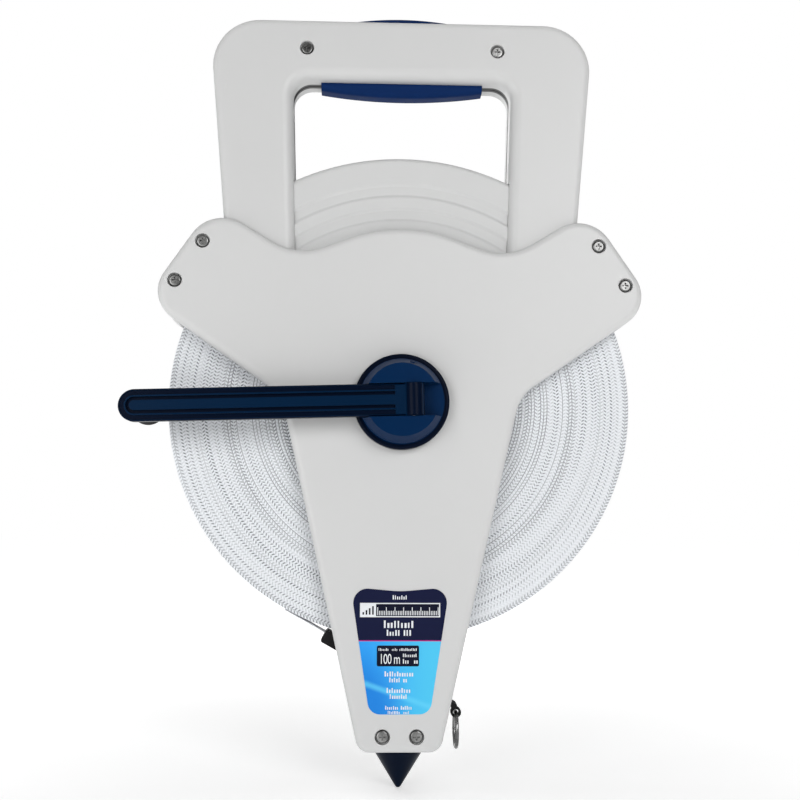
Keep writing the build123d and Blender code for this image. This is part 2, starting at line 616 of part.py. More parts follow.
with BuildPart() as crank_arm:
    with BuildSketch(facing(ARM_BACK, CRANK_TILT)) as arm_outline:
        with Locations(((PIN_X - ARM_REACH) / 2, 0)):
            Rectangle(ARM_REACH + PIN_X - ARM_WIDTH, ARM_WIDTH)
        with Locations((ARM_WIDTH / 2 - ARM_REACH, 0)):
            Circle(ARM_WIDTH / 2)
        with Locations((PIN_X - ARM_WIDTH / 4, 0)):
            Rectangle(ARM_WIDTH / 2, ARM_WIDTH)
    extrude(amount=ARM_THICK)
    tip_edges = edges().filter_by(lambda edge: edge.center().X < PIN_X - 4).group_by(Axis.Y)
    chamfer(tip_edges[0].filter_by(lambda edge: edge.length > 2), 1.0)
    # two grooves run round the tip, with a thin ridge between them and a raised middle panel
    for outside, inside, depth in ARM_GROOVES:
        with BuildSketch(facing(ARM_FACE, CRANK_TILT)) as groove:
            add(tongue(outside).sketch_local)
            add(tongue(inside).sketch_local, mode=Mode.SUBTRACT)
        extrude(amount=-depth, mode=Mode.SUBTRACT)
    # cored back with a boss left for the knob's screw
    with BuildSketch(facing(ARM_BACK, CRANK_TILT)) as core:
        with Locations((-(ARM_REACH - 4) / 2, 0)):
            Rectangle(ARM_REACH - 44, ARM_WIDTH - 6)
        for step in range(4):
            with Locations((-38 - 25 * step, 0)):
                Rectangle(1.8, ARM_WIDTH, mode=Mode.SUBTRACT)
    extrude(amount=2.4, mode=Mode.SUBTRACT)
    # hinge barrel, with the arm's end cut round it
    with Locations(pin_plane):
        Cylinder(BARREL_RADIUS, ARM_WIDTH)
        Cylinder(PIN_RADIUS + RUN, 2 * ARM_WIDTH, mode=Mode.SUBTRACT)
    with Locations(facing(ARM_BACK, CRANK_TILT)):
        with Locations((-KNOB_REACH, 0)):
            Cylinder(STUD_THREAD + PRESS, ARM_THICK - 1.0, align=FORWARD,
                     mode=Mode.SUBTRACT)

with BuildPart() as crank_knob:
    knob_plane = facing(0, CRANK_TILT)
    knob_axis_place = knob_plane.from_local_coords((-KNOB_REACH, 0, 0))
    profile_plane = Plane(origin=knob_axis_place, x_dir=knob_plane.x_dir, z_dir=knob_plane.y_dir)
    with BuildSketch(profile_plane) as knob_profile:
        with BuildLine():
            top = ARM_BACK - SLIP
            FilletPolyline(
                (STUD_SHOULDER + RUN, -top), (KNOB_RADIUS - 1.2, -top), (KNOB_RADIUS - 2.0, -top + 4.0),
                (KNOB_RADIUS, -KNOB_END - 2.0), (KNOB_RADIUS, -KNOB_END), (STUD_HEAD + SLIP, -KNOB_END),
                (STUD_HEAD + SLIP, -KNOB_SEAT), (STUD_SHOULDER + RUN, -KNOB_SEAT),
                radius=[0.2, 0.8, 3.0, 0.8, 0.9, 0.2, 0.2, 0.2], close=True)
        make_face()
    revolve(axis=Axis(knob_axis_place, (0, 1, 0)))

with BuildPart() as knob_screw:
    with Locations(facing(KNOB_SEAT - SIDE_PLAY, CRANK_TILT)):
        with Locations((-KNOB_REACH, 0)):
            Cylinder(STUD_HEAD, 2.2, align=REARWARD)
            Cylinder(STUD_SHOULDER, ARM_BACK - KNOB_SEAT + SIDE_PLAY, align=FORWARD)
            Cylinder(STUD_THREAD, ARM_BACK - KNOB_SEAT + SIDE_PLAY + 4.0,
                     align=FORWARD)
    fillet(faces().sort_by(Axis.Y)[-1].edges(), 0.8)
    with Locations(facing(KNOB_SEAT - SIDE_PLAY - 2.2, CRANK_TILT)):
        with Locations((-KNOB_REACH, 0)):
            Box(7.0, 1.2, 2.0, mode=Mode.SUBTRACT)

# ---- ground spike: a point, a neck through the foot and a block held by the foot's screws

with BuildPart() as ground_spike:
    with BuildSketch(Plane.XZ) as spike_profile:
        with BuildLine():
            shoulder = SPIKE_LENGTH - PRESS
            tip_turn = 90 - degrees(atan2(SPIKE_RADIUS, shoulder - 1.2 - SPIKE_TIP))
            tip_arc = CenterArc((0, SPIKE_TIP), SPIKE_TIP, -90, tip_turn)
            rim = (SPIKE_RADIUS, shoulder - 1.2)
            Polyline(tip_arc @ 1, rim, (SPIKE_RADIUS, shoulder), (0, shoulder), (0, 0))
        make_face()
    revolve(axis=Axis.Z)
    with Locations((0, 0, SPIKE_LENGTH - PRESS)):
        Box(2 * NECK_HALF_X, 2 * NECK_HALF_Y, 6, align=FORWARD)
    with Locations((0, 0, SPIKE_LENGTH + PLATE_WALL + 0.5)):
        Box(2 * (FOOT_HALF - 8), 2 * (NECK_HALF_Y + 2.5), 14, align=FORWARD)
    with BuildSketch(facing(0)):
        with Locations(*FOOT_SCREWS):
            Circle(SCREW_RADIUS + RUN)
    extrude(amount=2 * PLATE_FACE, both=True, mode=Mode.SUBTRACT)

# ---- tape mouth, strand, clip and ring

MOUTH_PINS = [(side * MOUTH_LENGTH * 0.3, -LEADER_THICK / 2 - MOUTH_PIN - RUN) for side in (-1, 1)]
with BuildPart() as tape_mouth:
    with Locations(along_strand(mouth_middle, mouth_aside)):
        Box(MOUTH_LENGTH, MOUTH_HEIGHT, 2 * MOUTH_HALF)
    chamfer(faces().sort_by(Axis.X)[0].edges(), 0.7)
    with Locations(along_strand(mouth_middle)):
        Box(2 * MOUTH_LENGTH, MOUTH_SLOT, TAPE_WIDTH + 1.2, mode=Mode.SUBTRACT)
    with BuildSketch(along_strand(mouth_middle)) as pin_holes:
        with Locations(*MOUTH_PINS):
            Circle(MOUTH_PIN + PRESS)
    extrude(amount=MOUTH_HALF - 0.8, both=True, mode=Mode.SUBTRACT)

with BuildPart() as mouth_pins:
    with BuildSketch(along_strand(mouth_middle)) as pin_ends:
        with Locations(*MOUTH_PINS):
            Circle(MOUTH_PIN)
    extrude(amount=MOUTH_HALF - 1.0, both=True)

CLIP_LENGTH = 5.0
CLIP_THICK = 2.6
STRAND_LENGTH = EXIT + 2.5
with BuildPart() as tape_leader:
    with Locations(along_strand(STRAND_LENGTH / 2)):
        Box(STRAND_LENGTH, LEADER_THICK, TAPE_WIDTH)

EYE_RADIUS = RING_WIRE + 0.6
EYE_HALF = 2.2
clip_end = strand_point(STRAND_LENGTH + 1.0)
ring_pivot = (clip_end[0] + 1.2, clip_end[1] - 4.2)
with BuildPart() as leader_clip:
    with Locations(along_strand(STRAND_LENGTH - CLIP_LENGTH / 2 + 2.0)):
        Box(CLIP_LENGTH, CLIP_THICK, TAPE_WIDTH + 1.0)
    with BuildSketch(facing(0)) as eye:
        with Locations(ring_pivot):
            Circle(EYE_RADIUS + 1.3)
        with BuildLine():
            Polyline((ring_pivot[0] - 2.0, ring_pivot[1]), (ring_pivot[0] + 2.0, ring_pivot[1]),
                     (clip_end[0] + 1.6, clip_end[1]), (clip_end[0] - 1.8, clip_end[1]), close=True)
        make_face()
    extrude(amount=EYE_HALF, both=True)
    with Locations(along_strand(STRAND_LENGTH / 2)):
        Box(STRAND_LENGTH + 2 * PRESS, LEADER_THICK + 2 * PRESS, TAPE_WIDTH + 2 * PRESS, mode=Mode.SUBTRACT)
    with BuildSketch(facing(0)):
        with Locations(ring_pivot):
            Circle(EYE_RADIUS)
    extrude(amount=TAPE_WIDTH, both=True, mode=Mode.SUBTRACT)

with BuildPart() as end_ring:
    ring_centre = (ring_pivot[0], 0, AXIS_Z + ring_pivot[1] - RING_RADIUS)
    with Locations(Plane(origin=ring_centre, z_dir=(1, 0, 0))):
        Torus(RING_RADIUS, RING_WIRE)

# ---- label, in a shape that follows the leg

LABEL_THICK = 0.25
with BuildPart() as label:
    with BuildSketch(facing(PLATE_FACE)) as label_outline:
        with BuildLine():
            FilletPolyline((-27.8, -104.3), (-16.9, -174.2), (16.9, -174.2), (27.8, -104.3), (0, -106.8),
                           radius=[8, 7, 7, 8, 60], close=True)
        make_face()
    extrude(amount=LABEL_THICK)

# ---- screws: pan heads with a cross recess


def screw_set(places, head_seat, length):
    """Solids of the screws at some places, heads down on a seat at a depth in front of the tape."""
    with BuildPart() as screws:
        with BuildSketch(facing(head_seat)):
            with Locations(*places):
                Circle(SCREW_HEAD)
        extrude(amount=SCREW_HEAD_THICK)
        fillet(faces().sort_by(Axis.Y)[:len(places)].edges(), 1.1)
        with BuildSketch(facing(head_seat + SCREW_HEAD_THICK)):
            with Locations(*places):
                Rectangle(3.6, 0.9)
                Rectangle(0.9, 3.6)
        extrude(amount=-1.3, mode=Mode.SUBTRACT)
        with BuildSketch(facing(head_seat)):
            with Locations(*places):
                Circle(SCREW_RADIUS)
        extrude(amount=-length)
    return screws


PLATE_SCREW_LENGTH = 2 * PLATE_FACE - RECESS_DEPTH - PLATE_WALL - 2
ear_screws = screw_set(EAR_SCREWS, PLATE_FACE - RECESS_DEPTH, PLATE_SCREW_LENGTH)
foot_screws = screw_set(FOOT_SCREWS, PLATE_FACE - RECESS_DEPTH, PLATE_SCREW_LENGTH)
handle_screws = screw_set(HANDLE_SCREWS, HANDLE_HALF - RECESS_DEPTH,
                          2 * HANDLE_HALF - RECESS_DEPTH - HANDLE_WALL - 2)

pieces = {
    "front_plate": front_plate, "rear_plate": rear_plate,
    "handle_front": handle_front, "handle_rear": handle_rear, "handle_grip": handle_grip,
    "tape_guard": tape_guard, "ground_spike": ground_spike,
    "front_bush": front_bush, "rear_bush": rear_bush, "thrust_washers": thrust_washers,
    "drum": drum, "tape_coil": tape_coil,
    "crank_hub": crank_hub, "crank_pin": crank_pin, "crank_arm": crank_arm,
    "crank_knob": crank_knob, "knob_screw": knob_screw,
    "rear_cap": rear_cap, "axle_bolt": axle_bolt, "axle_nut": axle_nut, "cap_plug": cap_plug,
    "tape_mouth": tape_mouth, "mouth_pins": mouth_pins, "tape_leader": tape_leader,
    "leader_clip": leader_clip, "end_ring": end_ring, "label": label,
    "ear_screws": ear_screws, "foot_screws": foot_screws, "handle_screws": handle_screws,
}
for name, piece in pieces.items():
    piece.part.label = name
    export_step(piece.part, f"parts/{name}.step")
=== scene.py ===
from math import cos, pi, radians, sin
from random import Random

import bmesh
import bpy
from mathutils import Matrix, Vector


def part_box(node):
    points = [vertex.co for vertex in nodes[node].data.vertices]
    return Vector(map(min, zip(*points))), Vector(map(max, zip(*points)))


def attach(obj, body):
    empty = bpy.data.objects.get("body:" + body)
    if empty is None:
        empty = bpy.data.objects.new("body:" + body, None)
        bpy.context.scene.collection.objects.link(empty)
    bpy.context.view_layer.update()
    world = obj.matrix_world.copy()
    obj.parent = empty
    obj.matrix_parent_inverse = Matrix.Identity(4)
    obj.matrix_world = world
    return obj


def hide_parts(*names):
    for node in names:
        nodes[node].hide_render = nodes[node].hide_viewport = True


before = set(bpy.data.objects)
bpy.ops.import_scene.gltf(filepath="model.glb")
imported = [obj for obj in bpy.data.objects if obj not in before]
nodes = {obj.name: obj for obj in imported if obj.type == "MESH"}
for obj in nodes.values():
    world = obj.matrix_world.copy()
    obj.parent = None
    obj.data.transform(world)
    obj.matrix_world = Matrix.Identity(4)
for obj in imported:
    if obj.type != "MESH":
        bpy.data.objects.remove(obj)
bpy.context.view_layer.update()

# ---- Studio
# A plain pale floor that the reel stands on by its spike, under a white sky, in soft even light.
# The camera looks slightly up at the crank side from a little left of square.
reel_low, reel_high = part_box("tape_coil")
axis = (reel_low + reel_high) / 2
axis.y = 0

FLOOR_NEAR = 0.8
FLOOR_FAR = 7.0
FLOOR_HALF = 4.0
FLOOR_PARTS = 12
GLOW_NEAR = 0.36
GLOW_FAR = 0.85
GLOW_STARTS = 0.05
GLOW_FULL = 0.9
PAPER = (0.96, 0.96, 0.96)
PAPER_SHADE = (0.93, 0.93, 0.93)

floor_points = []
floor_faces = []
for row in range(FLOOR_PARTS + 1):
    y = -FLOOR_NEAR + (FLOOR_FAR + FLOOR_NEAR) * row / FLOOR_PARTS
    floor_points += [(-FLOOR_HALF, y, 0.0), (FLOOR_HALF, y, 0.0)]
for row in range(FLOOR_PARTS):
    floor_faces.append((2 * row, 2 * row + 1, 2 * row + 3, 2 * row + 2))
floor_mesh = bpy.data.meshes.new("floor")
floor_mesh.from_pydata(floor_points, [], floor_faces)
floor = bpy.data.objects.new("floor", floor_mesh)
bpy.context.scene.collection.objects.link(floor)


def put(tree, kind, **given):
    """Adds a node. Each given name is a property or an input, with a value or a socket to join to it."""
    node = tree.nodes.new(kind)
    for name, value in given.items():
        socket = node.inputs.get(name.replace("_", " "))
        if socket is None:
            setattr(node, name, value)
        elif isinstance(value, bpy.types.NodeSocket):
            tree.links.new(value, socket)
        else:
            socket.default_value = value
    return node


def calc(tree, operation, *values, clamp=False):
    """One Math node on numbers or sockets; gives its output."""
    node = tree.nodes.new("ShaderNodeMath")
    node.operation = operation
    node.use_clamp = clamp
    for socket, value in zip(node.inputs, values):
        if isinstance(value, bpy.types.NodeSocket):
            tree.links.new(value, socket)
        else:
            socket.default_value = value
    return node.outputs[0]


def mixed(tree, share, first, second):
    """Colour between first and second, which are colours or sockets."""
    node = tree.nodes.new("ShaderNodeMix")
    node.data_type = "RGBA"
    for place, value in ((0, share), (6, first), (7, second)):
        if isinstance(value, bpy.types.NodeSocket):
            tree.links.new(value, node.inputs[place])
        elif place:
            node.inputs[place].default_value = (*value, 1.0)
        else:
            node.inputs[place].default_value = value
    return node.outputs[2]


def spread(tree, value, low, high, out_low, out_high):
    """Takes a value from one range to another, held at the ends."""
    node = put(tree, "ShaderNodeMapRange", interpolation_type="SMOOTHSTEP")
    tree.links.new(value, node.inputs[0])
    for place, number in enumerate((low, high, out_low, out_high), start=1):
        node.inputs[place].default_value = number
    return node.outputs[0]


def finish_named(name, **shader_values):
    """A new material; gives it, its tree and its shader, with fixed values on the shader's own inputs."""
    material = bpy.data.materials.new(name)
    material.use_nodes = True
    tree = material.node_tree
    shader = tree.nodes["Principled BSDF"]
    for socket, value in shader_values.items():
        shader.inputs[socket.replace("_", " ")].default_value = value
    return material, tree, shader


def noise(tree, place, scale, detail=2.0, rough=0.5):
    """Noise at a number of features per metre; gives a value from 0 to 1."""
    node = put(tree, "ShaderNodeTexNoise", Vector=place, Scale=scale, Detail=detail, Roughness=rough)
    return node.outputs[0]


def place_of(tree):
    """Where a point is on its piece, in metres in the shared frame."""
    return tree.nodes.new("ShaderNodeTexCoord").outputs["Object"]


paper, tree, shader = finish_named("studio_paper", Roughness=0.9)
tint = mixed(tree, noise(tree, place_of(tree), 3.0), PAPER_SHADE, PAPER)
tree.links.new(tint, shader.inputs["Base Color"])
# the paper is lit from behind, more so further out, so that only the ground near the reel shades
reach = put(tree, "ShaderNodeVectorMath", operation="LENGTH")
tree.links.new(place_of(tree), reach.inputs[0])
glow = spread(tree, reach.outputs["Value"], GLOW_STARTS, GLOW_FULL, GLOW_NEAR, GLOW_FAR)
tree.links.new(glow, shader.inputs["Emission Strength"])
shader.inputs["Emission Color"].default_value = (1.0, 1.0, 1.0, 1.0)
floor_mesh.materials.append(paper)

world = bpy.data.worlds.new("studio")
bpy.context.scene.world = world
world.use_nodes = True
WORLD_OPEN = 0.17
WORLD_SHADED = 0.06
SHADE_CORE = -0.92
SHADE_RIM = -0.35
tree = world.node_tree
direction = tree.nodes.new("ShaderNodeTexCoord").outputs["Generated"]
toward = put(tree, "ShaderNodeSeparateXYZ", Vector=direction)
open_sky = spread(tree, toward.outputs[1], SHADE_CORE, SHADE_RIM, WORLD_SHADED, WORLD_OPEN)
seen = tree.nodes.new("ShaderNodeLightPath").outputs["Is Camera Ray"]
sky = calc(tree, "ADD", calc(tree, "MULTIPLY", open_sky, calc(tree, "SUBTRACT", 1.0, seen)), seen)
tree.links.new(sky, tree.nodes["Background"].inputs["Strength"])
tree.nodes["Background"].inputs["Color"].default_value = (1.0, 1.0, 1.0, 1.0)


def soft_light(name, place, width, height, power, aim):
    """A soft box at a place, turned to face a point."""
    lamp = bpy.data.lights.new(name, "AREA")
    lamp.shape = "RECTANGLE"
    lamp.size, lamp.size_y = width, height
    lamp.energy = power
    light = bpy.data.objects.new(name, lamp)
    light.location = place
    light.rotation_euler = (Vector(aim) - Vector(place)).to_track_quat("-Z", "Y").to_euler()
    bpy.context.scene.collection.objects.link(light)


soft_light("key", (0.60, -1.35, 0.70), 0.7, 0.7, 9.4, axis)
soft_light("fill", (-0.80, -1.20, 0.35), 0.7, 0.9, 7.6, axis)
soft_light("top", (0.0, -0.1, 1.35), 1.2, 0.6, 2.5, axis)
soft_light("rear", (-0.35, 1.40, 0.75), 0.8, 0.8, 5.0, axis)
soft_light("edge_left", (-1.2, 0.15, 0.5), 0.15, 1.0, 1.6, axis)
soft_light("edge_right", (1.2, 0.15, 0.5), 0.15, 1.0, 1.3, axis)

AZIMUTH = radians(-2.16)
ELEVATION = radians(-6.05)
ROLL = radians(-0.30)
DISTANCE = 0.6507
aim = axis + Vector((0.00005, 0.0, 0.0036))
back = Vector((sin(AZIMUTH) * cos(ELEVATION), -cos(AZIMUTH) * cos(ELEVATION), sin(ELEVATION)))
camera = bpy.data.objects.new("camera", bpy.data.cameras.new("camera"))
camera.data.sensor_width = 36.0
camera.data.lens = 49.57
camera.data.clip_start = 0.01
camera.rotation_mode = "QUATERNION"
camera.location = aim + back * DISTANCE
level_view = (-back).to_track_quat("-Z", "Y")
camera.rotation_quaternion = Matrix.Rotation(-ROLL, 3, back).to_quaternion() @ level_view
bpy.context.scene.collection.objects.link(camera)
bpy.context.scene.camera = camera
bpy.context.scene.view_settings.view_transform = "Standard"

# ---- Side plates, handle halves and guard
# Off-white shells moulded in impact-resistant styrene with a satin skin; the plates sandwich the
# handle's lugs and the guard, and screws pull the front half onto the rear.
SHELL_COLOUR = (0.590, 0.592, 0.589)
SHELL_SHADE = (0.565, 0.567, 0.565)
SHELL_SCUFF = (0.66, 0.66, 0.655)


def moulded_shell(name, colour, shade, scuff, roughness=0.40, edge=0.0006, gloss_level=0.45):
    """Satin moulded plastic: slow colour drift, a fine spark-eroded grain, faint scuffs and rubbed edges."""
    material, tree, shader = finish_named(name, Specular_IOR_Level=gloss_level)
    place = place_of(tree)
    drift = noise(tree, place, 14.0, 3.0)
    grain = noise(tree, place, 2600.0, 2.0)
    long_way = put(tree, "ShaderNodeMapping", Vector=place, Scale=(1.0, 1.0, 0.12), Rotation=(0.0, 0.6, 0.0))
    scratch = noise(tree, long_way.outputs[0], 900.0, 3.0, 0.7)
    scratched = spread(tree, scratch, 0.66, 0.74, 0.0, 1.0)
    patch = spread(tree, noise(tree, place, 30.0, 2.0), 0.52, 0.70, 0.0, 1.0)
    scuffed = calc(tree, "MULTIPLY", scratched, patch)
    rounded = put(tree, "ShaderNodeBevel", Radius=edge, samples=4)
    true_normal = tree.nodes.new("ShaderNodeNewGeometry").outputs["True Normal"]
    alike = put(tree, "ShaderNodeVectorMath", operation="DOT_PRODUCT")
    tree.links.new(rounded.outputs[0], alike.inputs[0])
    tree.links.new(true_normal, alike.inputs[1])
    rubbed = spread(tree, alike.outputs["Value"], 0.80, 0.97, 0.6, 0.0)
    tint = mixed(tree, drift, shade, colour)
    tint = mixed(tree, calc(tree, "MULTIPLY", scuffed, 0.35), tint, scuff)
    tint = mixed(tree, rubbed, tint, scuff)
    tree.links.new(tint, shader.inputs["Base Color"])
    gloss = calc(tree, "ADD", calc(tree, "MULTIPLY", drift, 0.10), roughness - 0.05)
    gloss = calc(tree, "ADD", gloss, calc(tree, "MULTIPLY", scuffed, 0.2))
    tree.links.new(gloss, shader.inputs["Roughness"])
    relief = calc(tree, "ADD", grain, calc(tree, "MULTIPLY", scuffed, -0.8))
    bump = put(tree, "ShaderNodeBump", Height=relief, Strength=0.10, Distance=0.0002,
               Normal=rounded.outputs[0])
    tree.links.new(bump.outputs[0], shader.inputs["Normal"])
    return material


def finish_node(material, *names):
    """Gives pieces of the frame this one material."""
    for name in names:
        mesh = nodes[name].data
        mesh.materials.clear()
        mesh.materials.append(material)


def darkened(material, share, low_colour):
    """Mixes a darker tone into a moulding where the share of a mask socket says so."""
    tree = material.node_tree
    shader = tree.nodes["Principled BSDF"]
    tint = shader.inputs["Base Color"].links[0].from_socket
    tree.links.new(mixed(tree, share, tint, low_colour), shader.inputs["Base Color"])


shell = moulded_shell("shell_off_white", SHELL_COLOUR, SHELL_SHADE, SHELL_SCUFF)
finish_node(shell, "front_plate", "rear_plate")

# painted shade: a near-black band on the joint between the handle's halves all round the hand hole, standing
# in for the shadow in the seam
SEAM_SHADE_COLOUR = (0.0040, 0.0042, 0.0060)
SEAM_SHADE_FRONT = -0.0030
SEAM_SHADE_REAR = 0.0032
SEAM_SHADE_EDGE = 0.0003
INSIDE_HALF = 0.075
INSIDE_TOP = 0.0275

handle_shell = moulded_shell("handle_off_white", SHELL_COLOUR, SHELL_SHADE, SHELL_SCUFF)
tree = handle_shell.node_tree
parts = put(tree, "ShaderNodeSeparateXYZ", Vector=place_of(tree))
behind = spread(tree, parts.outputs[1], SEAM_SHADE_FRONT, SEAM_SHADE_FRONT + SEAM_SHADE_EDGE, 0.0, 1.0)
before = spread(tree, parts.outputs[1], SEAM_SHADE_REAR - SEAM_SHADE_EDGE, SEAM_SHADE_REAR, 1.0, 0.0)
inside = calc(tree, "LESS_THAN", calc(tree, "ABSOLUTE", parts.outputs[0]), INSIDE_HALF)
under = calc(tree, "LESS_THAN", parts.outputs[2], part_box("handle_front")[1].z - INSIDE_TOP)
seam_shade = calc(tree, "MULTIPLY", calc(tree, "MULTIPLY", behind, before), calc(tree, "MULTIPLY", inside, under))
darkened(handle_shell, seam_shade, SEAM_SHADE_COLOUR)
finish_node(handle_shell, "handle_front", "handle_rear")
GUARD_COLOUR = (0.585, 0.588, 0.585)
GUARD_SHADE = (0.550, 0.553, 0.551)
guard_shell = moulded_shell("guard_off_white", GUARD_COLOUR, GUARD_SHADE, SHELL_SCUFF, 0.46)
finish_node(guard_shell, "tape_guard")

# ---- Grip
# Navy thermoplastic rubber pad pushed through slots above and below the bar before the handle's
# halves close on it; finely stippled, with a soft bloom where it is rubbed.
GRIP_COLOUR = (0.0012, 0.0145, 0.075)
GRIP_BLOOM = (0.0030, 0.0220, 0.096)

rubber, tree, shader = finish_named("grip_navy", Specular_IOR_Level=0.06)
place = place_of(tree)
cloud = noise(tree, place, 45.0, 3.0)
stipple = put(tree, "ShaderNodeTexVoronoi", Vector=place, Scale=1700.0).outputs["Distance"]
tree.links.new(mixed(tree, cloud, GRIP_COLOUR, GRIP_BLOOM), shader.inputs["Base Color"])
tree.links.new(spread(tree, cloud, 0.3, 0.7, 0.42, 0.58), shader.inputs["Roughness"])
rounded = put(tree, "ShaderNodeBevel", Radius=0.0008, samples=4)
bump = put(tree, "ShaderNodeBump", Height=stipple, Strength=0.18, Distance=0.0002, Normal=rounded.outputs[0])
tree.links.new(bump.outputs[0], shader.inputs["Normal"])
finish_node(rubber, "handle_grip")

# ---- Drum, bushes and washers
# The drum is a white polypropylene wheel that the tape is wound on; acetal bushes pressed into the
# plates carry its journals, and acetal washers keep it central.
DRUM_COLOUR = (0.66, 0.67, 0.67)
DRUM_SHADE = (0.60, 0.61, 0.61)
DRUM_SCUFF = (0.74, 0.74, 0.73)
ACETAL_COLOUR = (0.70, 0.70, 0.66)
ACETAL_SHADE = (0.66, 0.66, 0.62)
ACETAL_SCUFF = (0.76, 0.76, 0.73)

drum_white = moulded_shell("drum_white", DRUM_COLOUR, DRUM_SHADE, DRUM_SCUFF, 0.48, 0.0004)
finish_node(drum_white, "drum")
acetal = moulded_shell("acetal_natural", ACETAL_COLOUR, ACETAL_SHADE, ACETAL_SCUFF, 0.30, 0.0002)
finish_node(acetal, "front_bush", "rear_bush", "thrust_washers")

# ---- Wound tape
# About 160 turns of white-coated fibreglass ribbon. The turns settle in bunches, so the sides show
# rows of ridges, and the glass yarns show along the cut edge as small slanted grey dashes.
TAPE_HALF = (reel_high.y - reel_low.y) / 2
TAPE_OUTER = (reel_high.x - reel_low.x) / 2
drum_low, drum_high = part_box("drum")
TAPE_INNER = (drum_high.x - drum_low.x) / 2
BUNCHES = 37
BUNCH_POINTS = 4
TAPE_SEGMENTS = 288
RIDGE_DEPTH = 0.00028
WANDER = 0.00016
YARN_PITCH = 0.0020
TURN_PITCH = 0.0004

winding = bpy.data.node_groups.new("tape_winding", "GeometryNodeTree")
face = winding.interface
face.new_socket("Geometry", in_out="INPUT", socket_type="NodeSocketGeometry")
winding_inputs = {}
for name, kind, value in (
    ("Inner radius", "NodeSocketFloat", TAPE_INNER), ("Outer radius", "NodeSocketFloat", TAPE_OUTER),
    ("Half width", "NodeSocketFloat", TAPE_HALF), ("Bunches", "NodeSocketInt", BUNCHES),
    ("Points per bunch", "NodeSocketInt", BUNCH_POINTS), ("Segments", "NodeSocketInt", TAPE_SEGMENTS),
    ("Ridge depth", "NodeSocketFloat", RIDGE_DEPTH), ("Wander", "NodeSocketFloat", WANDER),
    ("Axis height", "NodeSocketFloat", axis.z), ("Seed", "NodeSocketInt", 5),
):
    socket = face.new_socket(name, in_out="INPUT", socket_type=kind)
    winding_inputs[name] = (socket.identifier, value)
face.new_socket("Geometry", in_out="OUTPUT", socket_type="NodeSocketGeometry")
given = winding.nodes.new("NodeGroupInput").outputs
result = winding.nodes.new("NodeGroupOutput")

gaps = calc(winding, "MULTIPLY", given["Bunches"], given["Points per bunch"])
side_points = calc(winding, "ADD", gaps, 1.0)
both_sides = calc(winding, "MULTIPLY", side_points, 2.0)
columns = calc(winding, "ADD", both_sides, 1.0)
rows = calc(winding, "ADD", given["Segments"], 1.0)
grid = put(winding, "GeometryNodeMeshGrid", Vertices_X=columns, Vertices_Y=rows)
index = winding.nodes.new("GeometryNodeInputIndex").outputs[0]
column = calc(winding, "FLOOR", calc(winding, "DIVIDE", calc(winding, "ADD", index, 0.5), rows))
step = calc(winding, "SUBTRACT", index, calc(winding, "MULTIPLY", column, rows))
column = calc(winding, "MODULO", column, both_sides)
on_back = calc(winding, "GREATER_THAN", column, calc(winding, "SUBTRACT", side_points, 0.5))
from_back = calc(winding, "SUBTRACT", calc(winding, "SUBTRACT", both_sides, 1.0), column)
place_in = calc(winding, "ADD", calc(winding, "MULTIPLY", from_back, on_back),
                calc(winding, "MULTIPLY", column, calc(winding, "SUBTRACT", 1.0, on_back)))
bunch = calc(winding, "DIVIDE", place_in, given["Points per bunch"])
share = calc(winding, "DIVIDE", bunch, given["Bunches"])
turn = calc(winding, "MULTIPLY", calc(winding, "DIVIDE", step, given["Segments"]), 2 * pi)
turn_cos, turn_sin = calc(winding, "COSINE", turn), calc(winding, "SINE", turn)
radius = calc(winding, "ADD", given["Inner radius"], calc(
    winding, "MULTIPLY", share, calc(winding, "SUBTRACT", given["Outer radius"], given["Inner radius"])))
in_bunch = calc(winding, "FRACT", calc(winding, "ADD", bunch, 0.0001))
crest = calc(winding, "SINE", calc(winding, "MULTIPLY", in_bunch, pi))
own = calc(winding, "ADD", calc(winding, "FLOOR", calc(winding, "ADD", bunch, 0.0001)),
           calc(winding, "MULTIPLY", on_back, 71.0))
bunch_id = calc(winding, "ROUND", own)
lean = put(winding, "FunctionNodeRandomValue", data_type="FLOAT", ID=bunch_id, Seed=given["Seed"])
drift_at = put(winding, "ShaderNodeCombineXYZ", X=calc(winding, "MULTIPLY", turn_cos, 1.3),
               Y=calc(winding, "MULTIPLY", turn_sin, 1.3), Z=calc(winding, "MULTIPLY", own, 0.9))
drifted = put(winding, "ShaderNodeTexNoise", Vector=drift_at.outputs[0], Scale=1.0, Detail=2.0).outputs[0]
offset = calc(winding, "SUBTRACT", calc(winding, "ADD", lean.outputs[1], drifted), 1.0)
offset = calc(winding, "MULTIPLY", calc(winding, "MULTIPLY", offset, given["Wander"]), crest)
height = calc(winding, "SUBTRACT", given["Half width"], calc(
    winding, "MULTIPLY", calc(winding, "SUBTRACT", 1.0, crest), given["Ridge depth"]))
height = calc(winding, "ADD", calc(winding, "SUBTRACT", height, given["Wander"]), offset)
facing = calc(winding, "SUBTRACT", calc(winding, "MULTIPLY", on_back, 2.0), 1.0)
spot = put(winding, "ShaderNodeCombineXYZ", X=calc(winding, "MULTIPLY", radius, turn_cos),
           Y=calc(winding, "MULTIPLY", height, facing),
           Z=calc(winding, "ADD", calc(winding, "MULTIPLY", radius, turn_sin), given["Axis height"]))
placed = put(winding, "GeometryNodeSetPosition", Geometry=grid.outputs["Mesh"], Position=spot.outputs[0])
welded = put(winding, "GeometryNodeMergeByDistance", Geometry=placed.outputs[0], Distance=0.000005)
smooth = put(winding, "GeometryNodeSetShadeSmooth", Geometry=welded.outputs[0])
realised = put(winding, "GeometryNodeRealizeInstances", Geometry=smooth.outputs[0])

# the coating is white; grey dashes lean one way in one bunch and the other way in the next
TAPE_WHITE = (0.77, 0.79, 0.82)
TAPE_GREY = (0.11, 0.12, 0.135)
TAPE_GAP_SHADE = (0.05, 0.054, 0.06)

